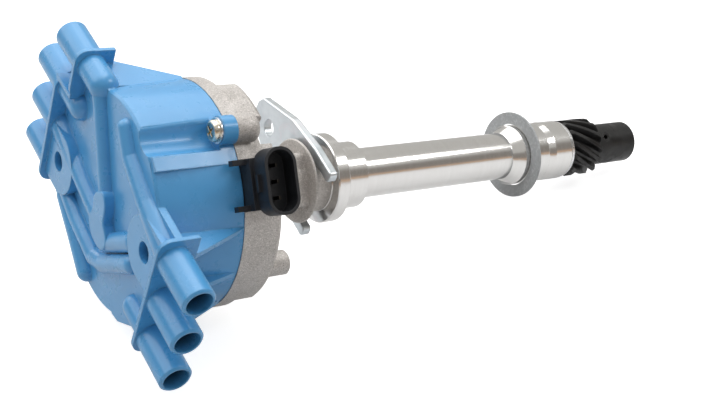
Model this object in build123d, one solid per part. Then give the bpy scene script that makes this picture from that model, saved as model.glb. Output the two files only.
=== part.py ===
"""Six-cylinder ignition distributor with a flat cap, built as separate pieces.

Millimetres. The shaft axis is Z, with the cap at the top. The origin is the
centre of the collar's lower face, which seats on the engine. The three lead
towers point along -X, the four lead towers along +X, and the sensor connector
faces the corner between -X and -Y.
"""
from build123d import *
from math import cos, pi, radians, sin, tan
import os

# Engine side of the housing
register_radius = 15.75
register_top = -114.0
register_end = -148.3
oil_groove_top = -131.2
oil_groove_width = 5.1
oil_groove_depth = 1.2
stem_radius = 12.2
flare_height = 5.6
pilot_radius = 16.0
pilot_length = 13.4
collar_radius = 21.16
collar_thickness = 6.7
edge_break = 0.5

# Clamp groove and neck
groove_radius = 15.3
groove_height = 8.6
neck_disc_radius = 19.8
neck_disc_thickness = 1.4
neck_core_radius = 12.5
column_width = 25.0
column_depth = 23.0
column_corner = 2.5

# Bowl of the housing
joint_height = 73.3
bowl_radius = 51.0
bowl_wall = 3.2
bowl_floor_thickness = 3.0
deep_bowl_height = 18.3
shallow_bowl_height = 9.3
deep_bowl_sectors = ((153.0, 89.5), (257.5, 26.5))
deep_pocket_margin = 4.0
deep_core_inset = 10.0
hub_radius = 13.0
hub_height = 5.0
peg_radius = 5.4
peg_inset = 6.6
peg_angle = 172.8
peg_drop = 10.0
vent_radius = 3.4
vent_inset = 12.0
vent_angles = (186.0, 270.7)
screen_radius = 4.6
screen_thickness = 0.8

# Shaft line
shaft_radius = 6.23
running_clearance = 0.04
fixed_clearance = 0.02
bushing_radius = 8.0
upper_bushing_length = 23.0
lower_bushing_length = 25.0
oil_space_radius = 9.0
shaft_reach = 11.7
shaft_recess = 1.0
drive_slot_width = 6.4
drive_slot_depth = 9.0

# Thrust stack between the housing and the gear
thrust_gap = 0.2
thrust_washer_thickness = 1.5
thrust_washer_radius = 15.3
shim_thickness = 0.5
shim_radius = 13.6
shim_count = 2

# Drive gear
gear_teeth = 13
gear_tip_radius = 15.35
gear_root_radius = 11.6
gear_face_width = 22.5
gear_helix_angle = 28.0
gear_hub_radius = 11.13
gear_hub_length = 28.5
gear_tooth_chamfer = 1.4
pin_radius = 2.4
pin_wall = 1.0
pin_below_teeth = 6.2
pin_angle = -119.0

# Hold-down clamp
clamp_thickness = 4.0
clamp_top_gap = 0.3
clamp_side_gap = 0.3
clamp_half_width = 21.2
clamp_leg_length = 17.0
clamp_reach = 50.0
clamp_end_half_width = 7.9
clamp_bolt_distance = 34.8
clamp_bolt_radius = 4.3
clamp_turn = -7.0
clamp_tip_rounding = 2.0
clamp_edge_rounding = 0.8

# Mounting gasket, resting loose at the lower end of the stem
gasket_outer_radius = 22.5
gasket_inner_radius = 16.3
gasket_thickness = 1.2
gasket_drop = 4.3

# Cap
cap_height = 37.0
cap_draft = 1.8
cap_step = 0.4
cap_wall = 3.0
deck_thickness = 3.2
recess_radius = 8.0
recess_lip = 2.2
ear_radius = 6.0
ear_height = 6.4
cap_screw_offset = 2.2
cap_screw_angles = (250.0, 80.0)
cap_screw_radius = 2.0
cap_screw_reach = 7.6
cap_boss_height = 11.1
cap_boss_rounding = 3.0
screw_head_radius = 4.6
screw_head_height = 2.5
screw_washer_radius = 5.4
screw_washer_thickness = 0.9

# Lead towers
tower_radius = 7.0
tower_bore_radius = 5.5
tower_pitch = 21.1
tower_drop = 0.8
tower_rim = 0.8
left_tower_length = 24.2
right_tower_length = 22.7
coil_tower_length = 22.4
plate_overhang = 6.0
coil_plate_setback = 14.4
left_row_centre = 1.0
right_row_centre = 0.6
left_plate_margins = (9.9, 8.4)
right_plate_margins = (5.5, 10.3)
coil_plate_margins = (8.0, 16.6)
plate_thickness = 2.0
plate_rise = 7.0
plate_depth = 10.3
plate_corner = 5.5
rib_thickness = 2.4

# Leads moulded into the top of the cap, with their bends as points in plan
lead_radius = 4.5
rim_lead_radius = 4.7
root_radius = 6.4
crossing = (0.0, 11.0)
coil_lead_radius = 4.1
coil_lead_start = (0.0, -2.0)
coil_elbow = 27.0
coil_elbow_radius = 6.2
inner_lead = [(-28.0, -3.5), (-7.5, 15.5)]
outer_lead = [(-31.0, 6.2), (-9.0, 26.0), (0.0, 30.5), (22.0, 28.0), (37.0, 24.0)]
cross_lead_taper = (24.0, 7.6)
near_lead = [(-31.0, -26.3, 4.8), (-10.5, -33.4, 4.2), (-1.0, -41.3, 3.9)]
rim_lead = [(38.0, 27.3), (19.0, 36.3), (4.5, 43.9)]
blind_tower_lengths = (16.0, 15.5)
blind_tower_radii = (5.6, 6.2)
boss_outline = [
    (4.8, 1.4), (5.1, -1.3), (2.0, -5.9), (-2.3, -7.6), (-5.1, -5.1), (-6.7, -0.5), (-7.6, 4.2), (-10.4, 6.4),
    (-13.0, 9.6), (-12.9, 13.4), (-10.2, 16.4), (-5.7, 17.6), (-0.3, 17.0), (3.4, 14.6), (5.6, 11.4), (4.4, 6.2)]
boss_edge = 0.6
boss_rise = 4.7
pad_radius = 14.3
pad_rise = 4.6
pad_hole_radius = 4.5
pad_hole_shift = 1.2
pad_hole_depth = 4.0
pad_setback = 14.6
left_pad_row = -12.7
right_pad_row = 11.8
pilaster_angle = 238.7
pilaster_width = 6.9

# Electrical pieces in the cap
terminal_radius = 3.6
terminal_socket_radius = 2.3
terminal_length = 10.0
contact_count = 6
contact_inset = 19.5
contact_radius = 2.6
contact_drop = 1.3
first_contact_angle = 14.0
button_socket_radius = 7.0
button_socket_depth = 14.0
button_radius = 3.3
button_clearance = 0.08
button_length = 9.0
button_travel = 1.5
coil_contact_thickness = 3.0
spring_wire = 0.35
spring_turns = 5

# Rotor group on the shaft
vane_wall_gap = 14.8
vane_thickness = 1.4
vane_skirt = 8.0
vane_hub_radius = 9.5
vane_window = 60.0
washer_stack_radius = 10.5
upper_washer_thickness = 1.3
upper_shim_thickness = 0.6
carrier_radius = 16.0
carrier_thickness = 2.0
rotor_radius = 25.0
rotor_thickness = 5.0
rotor_crown_radius = 9.0
rotor_crown_height = 8.0
blade_width = 7.0
blade_thickness = 1.2
blade_gap = 0.8
rotor_angle = 14.0
rotor_screw_distance = 12.0
rotor_screw_radius = 1.6
rotor_screw_head = 3.0
rotor_screw_head_height = 2.0

# Cam sensor and its connector
sensor_angle = 224.0
shell_reach = 16.5
shell_width = 27.4
shell_height = 14.5
shell_wall = 1.3
shell_drop = 9.1
socket_depth = 8.4
flange_width = 21.0
flange_reach = 7.3
latch_width = 7.0
latch_height = 1.5
latch_setback = 4.5
guide_offset = 9.3
guide_thickness = 2.3
guide_depth = 3.4
guide_rise = 5.4
guide_length = 13.0
sensor_depth = 7.5
sensor_arm_gap = 1.2
sensor_height = 9.0
hall_width = 12.0
sensor_ear_offsets = (-14.0, 5.0)
sensor_ear_inset = 6.6
sensor_ear_radius = 3.9
sensor_block_width = 18.0
sensor_ear_thickness = 3.0
sensor_block_gap = 4.0
sensor_screw_radius = 1.8
sensor_screw_head = 3.4
sensor_screw_head_height = 2.2
sensor_screw_bite = 2.3
pin_pitch = 6.6
pin_blade_width = 1.5
pin_blade_thickness = 0.8
pin_blade_reach = 4.5
pin_blade_root = 4.0

STAND = (Align.CENTER, Align.CENTER, Align.MIN)

inner_radius = bowl_radius - bowl_wall
deep_core_radius = bowl_radius - deep_core_inset
peg_distance = bowl_radius - peg_inset
vent_distance = bowl_radius - vent_inset
cap_screw_distance = bowl_radius + cap_screw_offset
gasket_rest = register_top - gasket_drop
vane_radius = inner_radius - vane_wall_gap
sensor_inner = vane_radius - sensor_depth
sensor_block_start = vane_radius + sensor_block_gap
sensor_ear_distance = inner_radius - sensor_ear_inset
shell_mouth = bowl_radius + shell_reach
shell_centre = joint_height - shell_drop
flange_face = bowl_radius + flange_reach
socket_floor = shell_mouth - socket_depth
left_plate_face = -bowl_radius - plate_overhang
right_plate_face = bowl_radius + plate_overhang
coil_plate_face = right_plate_face - coil_plate_setback
left_pad = (left_plate_face + pad_setback, left_pad_row)
right_pad = (right_plate_face - pad_setback, right_pad_row)
deck_top = joint_height + cap_height
deck_radius = bowl_radius - cap_step - cap_draft
tower_height = deck_top - tower_drop
plate_top = deck_top + plate_rise
plate_foot = deck_top - plate_depth
contact_circle = bowl_radius - contact_inset
deck_under = deck_top - deck_thickness
bowl_floor = joint_height - deep_bowl_height + bowl_floor_thickness
hub_top = bowl_floor + hub_height
clamp_top = collar_thickness + groove_height - clamp_top_gap
neck_disc_top = collar_thickness + groove_height + 1.7 + neck_disc_thickness
gear_top = register_end - 2 * thrust_gap - thrust_washer_thickness - shim_count * shim_thickness
gear_teeth_end = gear_top - gear_face_width
gear_bottom = gear_teeth_end - gear_hub_length
vane_bottom = hub_top + upper_washer_thickness + upper_shim_thickness
vane_top = vane_bottom + 5.4
rotor_bottom = vane_top + carrier_thickness
rotor_face = rotor_bottom + rotor_thickness
blade_bottom = rotor_face + rotor_crown_height
blade_top = blade_bottom + blade_thickness
shaft_top = rotor_bottom + shaft_reach
contact_bottom = blade_bottom - contact_drop


def ring(outer, inner, low, high):
    """Plain ring about the shaft axis."""
    height = high - low
    body = Cylinder(outer, height, align=STAND) - Cylinder(inner, height, align=STAND)
    return Pos(0, 0, low) * body


def disc(radius, low, high):
    """Plain cylinder about the shaft axis."""
    return Pos(0, 0, low) * Cylinder(radius, high - low, align=STAND)


def turned(points, sweep=360.0):
    """Solid of revolution about the shaft axis, from (radius, height) points."""
    outline = Polyline([(radius, 0, height) for radius, height in points], close=True)
    return revolve(make_face(outline), Axis.Z, sweep)


def slab(points, low, high):
    """Flat plate with its outline in plan, from low to high."""
    outline = Polyline([(x, y, low) for x, y in points], close=True)
    return extrude(make_face(outline), high - low, dir=(0, 0, 1))


def rod(start, end, radius):
    """Round bar between two points."""
    path = Vector(*end) - Vector(*start)
    return Plane(origin=start, z_dir=path) * Cylinder(radius, path.length, align=STAND)


def bar(points, radius, height):
    """Round bar with ball corners and ends, along points in plan."""
    body = Pos(points[0][0], points[0][1], height) * Sphere(radius)
    for start, end in zip(points, points[1:]):
        body += rod((*start, height), (*end, height), radius)
        body += Pos(end[0], end[1], height) * Sphere(radius)
    return body


def tapered_bar(points):
    """Bar with ball corners and ends, along (x, y, height, radius) points."""
    x, y, height, radius = points[0]
    body = Pos(x, y, height) * Sphere(radius)
    for (x, y, height, radius), (end_x, end_y, end_height, end_radius) in zip(points, points[1:]):
        run = Vector(end_x, end_y, end_height) - Vector(x, y, height)
        cone = Cone(radius, end_radius, run.length, align=STAND)
        body += Plane(origin=(x, y, height), z_dir=run) * cone
        body += Pos(end_x, end_y, end_height) * Sphere(end_radius)
    return body


def polar(distance, angle):
    """Point in plan at a distance and an angle in degrees."""
    return distance * cos(radians(angle)), distance * sin(radians(angle))


def at(distance, angle, height):
    """Place at a distance from the axis, turned to face outwards."""
    return Rot(0, 0, angle) * Pos(distance, 0, height)


def box(x_low, x_high, y_low, y_high, z_low, z_high):
    """Block from its limits."""
    size = (x_high - x_low, y_high - y_low, z_high - z_low)
    centre = ((x_low + x_high) / 2, (y_low + y_high) / 2, (z_low + z_high) / 2)
    return Pos(*centre) * Box(*size)


# Lead towers as (root face x, open end x, y)
left_rows = [left_row_centre + step * tower_pitch for step in (-1, 0, 1)]
right_rows = [right_row_centre + step * tower_pitch for step in (-1, 0, 1)]
coil_row = right_row_centre - 2 * tower_pitch
towers = [(left_plate_face, left_plate_face - left_tower_length, y) for y in left_rows]
towers += [(right_plate_face, right_plate_face + right_tower_length, y) for y in right_rows]
towers += [(coil_plate_face, coil_plate_face + coil_tower_length, coil_row)]


def housing():
    """Cast bowl, neck, collar and stem in one piece."""
    neck_disc_low = collar_thickness + groove_height
    deep_low = joint_height - deep_bowl_height
    body = turned([
        (0, register_end),
        (register_radius - edge_break, register_end),
        (register_radius, register_end + edge_break),
        (register_radius, oil_groove_top - oil_groove_width),
        (register_radius - oil_groove_depth, oil_groove_top - 0.7),
        (register_radius, oil_groove_top),
        (register_radius, register_top - edge_break),
        (register_radius - edge_break, register_top),
        (stem_radius, register_top + flare_height),
        (stem_radius, -pilot_length - 1.3),
        (pilot_radius - edge_break, -pilot_length - 0.3),
        (pilot_radius, -pilot_length),
        (pilot_radius, 0),
        (collar_radius - edge_break, 0),
        (collar_radius, edge_break),
        (collar_radius, collar_thickness - edge_break),
        (collar_radius - edge_break, collar_thickness),
        (groove_radius, collar_thickness),
        (groove_radius, neck_disc_low),
        (neck_disc_radius - edge_break, neck_disc_low + 1.7),
        (neck_disc_radius, neck_disc_low + 1.7 + edge_break),
        (neck_disc_radius, neck_disc_top - edge_break),
        (neck_disc_radius - edge_break, neck_disc_top),
        (neck_core_radius, neck_disc_top),
        (neck_core_radius, deep_low - 14),
        (neck_core_radius + 3.5, deep_low - 7),
        (neck_core_radius + 9, deep_low - 2.5),
        (neck_core_radius + 17.5, deep_low),
        (deep_core_radius, deep_low),
        (deep_core_radius + 3, joint_height - shallow_bowl_height - 2),
        (bowl_radius - 2, joint_height - shallow_bowl_height),
        (bowl_radius, joint_height - shallow_bowl_height + 1.6),
        (bowl_radius, joint_height),
        (0, joint_height),
    ])
    deep_outline = [
        (deep_core_radius - 2, deep_low),
        (bowl_radius - 2, deep_low),
        (bowl_radius - 0.6, deep_low + 0.6),
        (bowl_radius, deep_low + 2),
        (bowl_radius, joint_height - 1),
        (deep_core_radius - 2, joint_height - 1),
    ]
    for start, sweep in deep_bowl_sectors:
        body += Rot(0, 0, start) * turned(deep_outline, sweep)

    column = Box(column_depth, column_width, deep_low + 1 - neck_disc_top, align=STAND)
    column = fillet(column.edges().filter_by(Axis.Z), column_corner)
    body += Rot(0, 0, sensor_angle) * Pos(0, 0, neck_disc_top) * column
    peg_height = peg_drop + bowl_floor_thickness
    peg = Cylinder(peg_radius, peg_height, align=STAND)
    peg = chamfer(peg.edges().group_by(Axis.Z)[0], 0.7)
    body += at(peg_distance, peg_angle, deep_low - peg_drop) * peg
    for angle in cap_screw_angles:
        boss = Cylinder(ear_radius, cap_boss_height, align=STAND)
        boss = fillet(boss.edges().group_by(Axis.Z)[0], cap_boss_rounding)
        body += at(cap_screw_distance, angle, joint_height - cap_boss_height) * boss

    shallow_floor = joint_height - shallow_bowl_height + bowl_floor_thickness
    inner = inner_radius
    body -= disc(inner, shallow_floor, joint_height + 1)
    body -= disc(deep_core_radius - bowl_wall, bowl_floor, joint_height)
    pocket_outline = [(20, bowl_floor), (inner, bowl_floor), (inner, joint_height), (20, joint_height)]
    for start, sweep in deep_bowl_sectors:
        pocket = turned(pocket_outline, sweep - 2 * deep_pocket_margin)
        body -= Rot(0, 0, start + deep_pocket_margin) * pocket
    body += disc(hub_radius, bowl_floor - 1, hub_top)

    body -= disc(bushing_radius, hub_top - upper_bushing_length, hub_top + 1)
    body -= disc(oil_space_radius, register_end + lower_bushing_length, hub_top - upper_bushing_length)
    body -= disc(bushing_radius, register_end - 1, register_end + lower_bushing_length)
    for angle in cap_screw_angles:
        hole = Cylinder(cap_screw_radius + fixed_clearance, cap_screw_reach + 1, align=STAND)
        body -= at(cap_screw_distance, angle, joint_height - cap_screw_reach - 1) * hole
    for angle in vent_angles:
        body -= at(vent_distance, angle, deep_low - 1) * Cylinder(vent_radius, 6, align=STAND)
    slot = box(inner - 6, bowl_radius + 8, -flange_width / 2 - 0.2, flange_width / 2 + 0.2,
               bowl_floor, joint_height + 1)
    body -= Rot(0, 0, sensor_angle) * slot
    for offset in sensor_ear_offsets:
        spot = Pos(sensor_ear_distance, offset, bowl_floor - sensor_screw_bite - 0.2)
        hole = Cylinder(sensor_screw_radius + fixed_clearance, sensor_screw_bite + 2, align=STAND)
        body -= Rot(0, 0, sensor_angle) * spot * hole
    return body


def upper_bushing():
    """Plain bearing in the hub of the bowl."""
    return ring(bushing_radius, shaft_radius + running_clearance, hub_top - upper_bushing_length, hub_top)


def lower_bushing():
    """Plain bearing in the lower end of the stem."""
    return ring(bushing_radius, shaft_radius + running_clearance, register_end,
                register_end + lower_bushing_length)


def vent_screens():
    """Two perforated discs over the vents in the bowl's floor."""
    screens = []
    for angle in vent_angles:
        screen = Cylinder(screen_radius, screen_thickness, align=STAND)
        for hole_angle in range(0, 360, 60):
            x, y = polar(2.0, hole_angle)
            screen -= Pos(x, y, 0) * Cylinder(0.55, screen_thickness, align=STAND)
        screens.append(at(vent_distance, angle, bowl_floor) * screen)
    return Compound(children=screens)


def drive_shaft():
    """Shaft from the rotor to the slotted lower end."""
    low = gear_bottom + shaft_recess
    body = disc(shaft_radius, low, shaft_top)
    body = chamfer(body.edges().group_by(Axis.Z)[-1], 0.6)
    slot = box(-shaft_radius - 1, shaft_radius + 1, -drive_slot_width / 2, drive_slot_width / 2,
               low - 1, low + drive_slot_depth)
    body -= slot
    body -= pin_hole()
    return body


def pin_hole():
    """Cross hole for the roll pin, through gear hub and shaft."""
    height = gear_teeth_end - pin_below_teeth
    span = gear_hub_radius + 2
    x, y = polar(span, pin_angle)
    return rod((x, y, height), (-x, -y, height), pin_radius + fixed_clearance)


def gear_roll_pin():
    """Hollow spring pin with its long slit."""
    height = gear_teeth_end - pin_below_teeth
    span = gear_hub_radius - 0.3
    x, y = polar(span, pin_angle)
    body = rod((x, y, height), (-x, -y, height), pin_radius)
    body -= rod((x, y, height), (-x, -y, height), pin_radius - pin_wall)
    slit = box(-span, span, -0.3, 0.3, 0, pin_radius + 1)
    body -= Pos(0, 0, height) * Rot(0, 0, pin_angle) * slit
    return body


def drive_gear():
    """Helical gear with its long hub."""
    tooth_angle = 2 * pi / gear_teeth
    shares = (0.35, 0.65, 0.85, 1.15)
    radii = (gear_tip_radius, gear_tip_radius, gear_root_radius, gear_root_radius)
    points = []
    for tooth in range(gear_teeth):
        for share, radius in zip(shares, radii):
            angle = tooth_angle * (tooth + share)
            points.append((radius * cos(angle), radius * sin(angle)))
    pitch_radius = (gear_tip_radius + gear_root_radius) / 2
    twist = gear_face_width * tan(radians(gear_helix_angle)) / pitch_radius * 180 / pi
    outline = Wire(Polyline([(x, y, gear_teeth_end) for x, y in points], close=True).edges())
    teeth = Solid.extrude_linear_with_rotation(
        Face(outline), (0, 0, gear_teeth_end), (0, 0, gear_face_width), twist)
    blank = turned([
        (0, gear_teeth_end),
        (gear_tip_radius - gear_tooth_chamfer * 1.6, gear_teeth_end),
        (gear_tip_radius + 0.1, gear_teeth_end + gear_tooth_chamfer * 1.6),
        (gear_tip_radius + 0.1, gear_top - gear_tooth_chamfer),
        (gear_tip_radius - gear_tooth_chamfer, gear_top),
        (0, gear_top),
    ])
    hub = disc(gear_hub_radius, gear_bottom, gear_top)
    body = chamfer(hub.edges().group_by(Axis.Z)[0], 0.6)
    body += blank & teeth
    body -= disc(shaft_radius + fixed_clearance, gear_bottom - 1, gear_top + 1)
    body -= pin_hole()
    return body


def thrust_washer():
    """Dimpled washer against the end of the housing."""
    high = register_end - thrust_gap
    low = high - thrust_washer_thickness
    body = ring(thrust_washer_radius, shaft_radius + 0.3, low, high)
    for angle in range(0, 360, 45):
        x, y = polar(11.2, angle)
        body -= Pos(x, y, low - 0.6) * Sphere(1.5)
    return body


def gear_shims():
    """Thin shims between the thrust washer and the gear."""
    shims = []
    for index in range(shim_count):
        low = gear_top + index * shim_thickness
        shims.append(ring(shim_radius - 0.4 * index, shaft_radius + 0.25, low, low + shim_thickness - 0.02))
    return Compound(children=shims)


def hold_down_clamp():
    """Forked plate with one bolt hole, in the groove above the collar."""
    gap = groove_radius + clamp_side_gap
    half = clamp_half_width
    points = [
        (-clamp_leg_length, -half), (0, -half), (22, -half + 3.0),
        (clamp_reach - 2.6, -clamp_end_half_width), (clamp_reach, -clamp_end_half_width + 4.5),
        (clamp_reach, clamp_end_half_width - 4.5), (clamp_reach - 2.6, clamp_end_half_width),
        (22, half - 3.0), (0, half), (-clamp_leg_length, half),
    ]
    low = clamp_top - clamp_thickness
    body = slab(points, low, clamp_top)
    body -= disc(gap, low - 1, clamp_top + 1)
    body -= box(-clamp_reach, 0, -gap, gap, low - 1, clamp_top + 1)
    body = fillet(body.edges().filter_by(Axis.Z).filter_by_position(Axis.X, -clamp_reach, -1), clamp_tip_rounding)
    rims = body.edges().filter_by(lambda edge: abs(edge.center().Z - clamp_top) < 0.01)
    body = fillet(rims, clamp_edge_rounding)
    body -= Pos(clamp_bolt_distance, 0, low - 1) * Cylinder(clamp_bolt_radius, clamp_thickness + 2, align=STAND)
    return Rot(0, 0, clamp_turn) * body


def mounting_gasket():
    """Fibre ring that seals the collar to the engine."""
    return ring(gasket_outer_radius, gasket_inner_radius, gasket_rest, gasket_rest + gasket_thickness)


def skirt_radius(height):
    """Outer radius of the cap's skirt at a height."""
    return bowl_radius - cap_step - cap_draft * (height - joint_height) / cap_height


def tower_bar(root, end, y, radius):
    """Round bar on the axis of one tower."""
    return rod((root, y, tower_height), (end, y, tower_height), radius)


def tower_tube(root, end, y):
    """Outside of one lead tower, with a small chamfer on its rim."""
    side = 1 if end > root else -1
    tube = Cylinder(tower_radius, abs(end - root), align=STAND)
    tube = chamfer(tube.edges().group_by(Axis.Z)[-1], tower_rim)
    return Plane(origin=(root, y, tower_height), z_dir=(side, 0, 0)) * tube


def tower_plate(face, y_low, y_high, foot):
    """Upright plate at the root of a row of towers."""
    side = 1 if face > 0 else -1
    size = (plate_thickness, y_high - y_low, plate_top - foot)
    plate = Box(*size)
    plate = fillet(plate.edges().filter_by(Axis.X).group_by(Axis.Z)[-1], plate_corner)
    return Pos(face - side * plate_thickness / 2, (y_low + y_high) / 2, (foot + plate_top) / 2) * plate


def tower_rib(face, y, foot):
    """Web below a tower, from the plate down to the foot of the skirt."""
    side = 1 if face > 0 else -1
    root = (bowl_radius ** 2 - y ** 2) ** 0.5
    inner = root - cap_wall - 2
    points = [(inner, joint_height), (root - 0.6, joint_height), (abs(face), foot), (abs(face), deck_top - 1),
              (inner, deck_top - 1)]
    outline = Polyline([(side * x, y - rib_thickness / 2, z) for x, z in points], close=True)
    return extrude(make_face(outline), rib_thickness, dir=(0, 1, 0))


def edge(inset, angle):
    """Point in plan on the deck, measured in from its round edge."""
    return polar(deck_radius - inset, angle)


def pad(centre, plate_face):
    """Raised pad: a disc joined by a flat to its tower plate."""
    x, y = centre
    top = deck_top + pad_rise
    body = Pos(x, y, deck_under) * Cylinder(pad_radius, top - deck_under, align=STAND)
    body += box(min(x, plate_face), max(x, plate_face), y - pad_radius, y + pad_radius, deck_under, top)
    return body


def add_leads(body):
    """The deck with its raised leads, centre boss and round pads."""
    elbow = (coil_elbow, coil_row)
    left_root = left_plate_face + 1
    right_root = right_plate_face - 1
    boss = extrude(make_face(Spline(boss_outline, periodic=True)), deck_thickness + boss_rise)
    boss = fillet(boss.edges().group_by(Axis.Z)[-1], boss_edge)
    body += Pos(0, 0, deck_under) * boss
    body += bar([coil_lead_start, elbow], coil_lead_radius, deck_top)
    body += bar(inner_lead + [crossing], lead_radius, deck_top)
    body += bar(outer_lead + [(right_root, right_rows[2])], lead_radius, deck_top)
    body += bar([cross_lead_taper, crossing], lead_radius, deck_top)
    body += bar(rim_lead, rim_lead_radius, deck_top)
    body += tapered_bar([(right_root, right_rows[1], tower_height, root_radius),
                         (*cross_lead_taper, deck_top, lead_radius)])
    near_points = [(x, y, deck_top, radius) for x, y, radius in near_lead]
    body += tapered_bar([(left_root, left_rows[0], tower_height, root_radius)] + near_points)
    body += Pos(*elbow, tower_height) * Sphere(coil_elbow_radius)
    body += tower_bar(coil_elbow, coil_plate_face - 1, coil_row, coil_elbow_radius)
    left_tip = left_root + blind_tower_lengths[0]
    right_tip = right_root - blind_tower_lengths[1]
    blind_towers = ((left_tip, left_root, left_rows[2]), (right_tip, right_root, right_rows[0]))
    for (tip, root, y), radius in zip(blind_towers, blind_tower_radii):
        body += Pos(tip, y, tower_height) * Sphere(radius)
        body += tower_bar(tip, root, y, radius)
    body += pad(left_pad, left_plate_face)
    body += pad(right_pad, right_plate_face)
    return body


def recess_edges(body, angle):
    """Long upright edges where one screw recess meets the skirt."""
    centre = Vector(*polar(cap_screw_distance, angle))
    found = []
    for line in body.edges():
        middle = line.center()
        rise = abs((line @ 1).Z - (line @ 0).Z)
        reach = (Vector(middle.X, middle.Y) - centre).length
        if rise > cap_height / 2 and abs(reach - recess_radius) < recess_lip / 3:
            found.append(line)
    return found


def cap():
    """Moulded cap with its deck, towers, plates and raised leads."""
    top_radius = skirt_radius(deck_top)
    base_radius = skirt_radius(joint_height)
    left_near, left_far = left_rows[0] - left_plate_margins[0], left_rows[2] + left_plate_margins[1]
    right_near, right_far = right_rows[0] - right_plate_margins[0], right_rows[2] + right_plate_margins[1]
    coil_near, coil_far = coil_row - coil_plate_margins[0], coil_row + coil_plate_margins[1]
    body = turned([(0, joint_height), (base_radius, joint_height), (top_radius, deck_top - 1.0),
                   (top_radius - 1.0, deck_top), (0, deck_top)])
    for angle in cap_screw_angles:
        recess = Cylinder(recess_radius, plate_top - joint_height - ear_height, align=STAND)
        body -= at(cap_screw_distance, angle, joint_height + ear_height) * recess
        body = fillet(recess_edges(body, angle), recess_lip)
    left_deck = [edge(0.3, 119.2), edge(-2, 126.2), edge(-4, 142.7), (left_plate_face, left_far),
                 (left_plate_face, left_near), edge(0.1, 218.8), edge(0.4, 240.3)]
    right_deck = [edge(0.3, 68.4), edge(-2.3, 59.4), (right_plate_face, right_far),
                  (right_plate_face, right_near), (coil_plate_face, right_near),
                  (coil_plate_face, coil_near + 2), edge(0.5, -65.6)]
    body += slab(left_deck, deck_under, deck_top)
    body += slab(right_deck, deck_under, deck_top)
    body = add_leads(body)
    body += tower_plate(left_plate_face, left_near, left_far, plate_foot)
    body += tower_plate(right_plate_face, right_near, right_far, plate_foot)
    body += tower_plate(coil_plate_face, coil_near, coil_far, plate_foot)
    body += box(coil_plate_face - plate_thickness, right_plate_face, coil_far - plate_thickness, coil_far,
                plate_foot, plate_top - 0.6)
    for root, end, y in towers:
        body += tower_tube(root, end, y)
        body += tower_rib(root, y, plate_foot)
    pilaster = box(top_radius - 6, base_radius - 0.2, -pilaster_width / 2, pilaster_width / 2,
                   joint_height, deck_top - 0.6)
    body += Rot(0, 0, pilaster_angle) * pilaster
    for angle in cap_screw_angles:
        body += at(cap_screw_distance, angle, joint_height) * Cylinder(ear_radius, ear_height, align=STAND)

    cavity = turned([(0, joint_height - 1), (base_radius - cap_wall, joint_height - 1),
                     (top_radius - cap_wall, deck_under), (0, deck_under)])
    for angle in cap_screw_angles:
        guard = Cylinder(recess_radius + cap_wall, cap_height + 2, align=STAND)
        cavity -= at(cap_screw_distance, angle, joint_height - 1) * guard
    body -= cavity
    body += disc(button_socket_radius, deck_under - button_socket_depth, deck_under + 1)
    body -= disc(button_radius + button_clearance, deck_under - button_socket_depth - 1, deck_under)

    ear_top = joint_height + ear_height
    for angle in cap_screw_angles:
        recess = Cylinder(recess_radius, plate_top - ear_top, align=STAND)
        body -= at(cap_screw_distance, angle, ear_top) * recess
        hole = Cylinder(cap_screw_radius + 0.3, ear_height + 2, align=STAND)
        body -= at(cap_screw_distance, angle, joint_height - 1) * hole
    for root, end, y in towers:
        overrun = 1 if end > root else -1
        body -= tower_bar(root, end + overrun, y, tower_bore_radius)
    for (x, y), side in ((left_pad, -1), (right_pad, 1)):
        hole = Cylinder(pad_hole_radius, pad_hole_depth + 1, align=STAND)
        body -= Pos(x + side * pad_hole_shift, y, deck_top + pad_rise - pad_hole_depth) * hole
    return body


def tower_terminals():
    """Socket terminals standing in the tower bores."""
    pieces = []
    for root, end, y in towers:
        side = 1 if end > root else -1
        piece = Cylinder(terminal_radius, terminal_length, align=STAND)
        piece -= Pos(0, 0, 2) * Cylinder(terminal_socket_radius, terminal_length, align=STAND)
        pieces.append(Plane(origin=(root, y, tower_height), z_dir=(side, 0, 0)) * piece)
    return Compound(children=pieces)


def cap_contacts():
    """Six posts that hang from the deck around the rotor."""
    posts = []
    for index in range(contact_count):
        angle = first_contact_angle + index * 360 / contact_count
        post = Cylinder(contact_radius, deck_under - contact_bottom, align=STAND)
        posts.append(at(contact_circle, angle, contact_bottom) * post)
    return Compound(children=posts)


def coil_contact():
    """Metal disc at the root of the button's socket."""
    return disc(button_radius, deck_under - coil_contact_thickness, deck_under)


def carbon_button():
    """Sprung centre contact that bears on the rotor blade."""
    body = disc(button_radius, blade_top, blade_top + button_length)
    return chamfer(body.edges().group_by(Axis.Z)[0], 0.8)


def button_spring():
    """Light compression spring behind the carbon button."""
    low = blade_top + button_length
    high = deck_under - coil_contact_thickness
    radius = button_radius - 0.7
    height = high - low - 2 * spring_wire
    helix = Helix(pitch=height / spring_turns, height=height, radius=radius)
    profile = Plane(origin=helix @ 0, z_dir=helix % 0) * Circle(spring_wire)
    return Pos(0, 0, low + spring_wire) * sweep(profile, path=helix)


def screw(radius, reach, head_radius, head_height):
    """Pan-head screw with a cross recess, head seat at its own origin."""
    body = Pos(0, 0, -reach) * Cylinder(radius, reach, align=STAND)
    head = Cylinder(head_radius, head_height, align=STAND)
    body += fillet(head.edges().group_by(Axis.Z)[-1], head_height * 0.6)
    depth = head_height * 0.6
    for turn in (0, 90):
        body -= Rot(0, 0, turn) * Pos(0, 0, head_height) * Box(head_radius * 1.1, head_radius * 0.25, 2 * depth)
    return body


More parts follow.
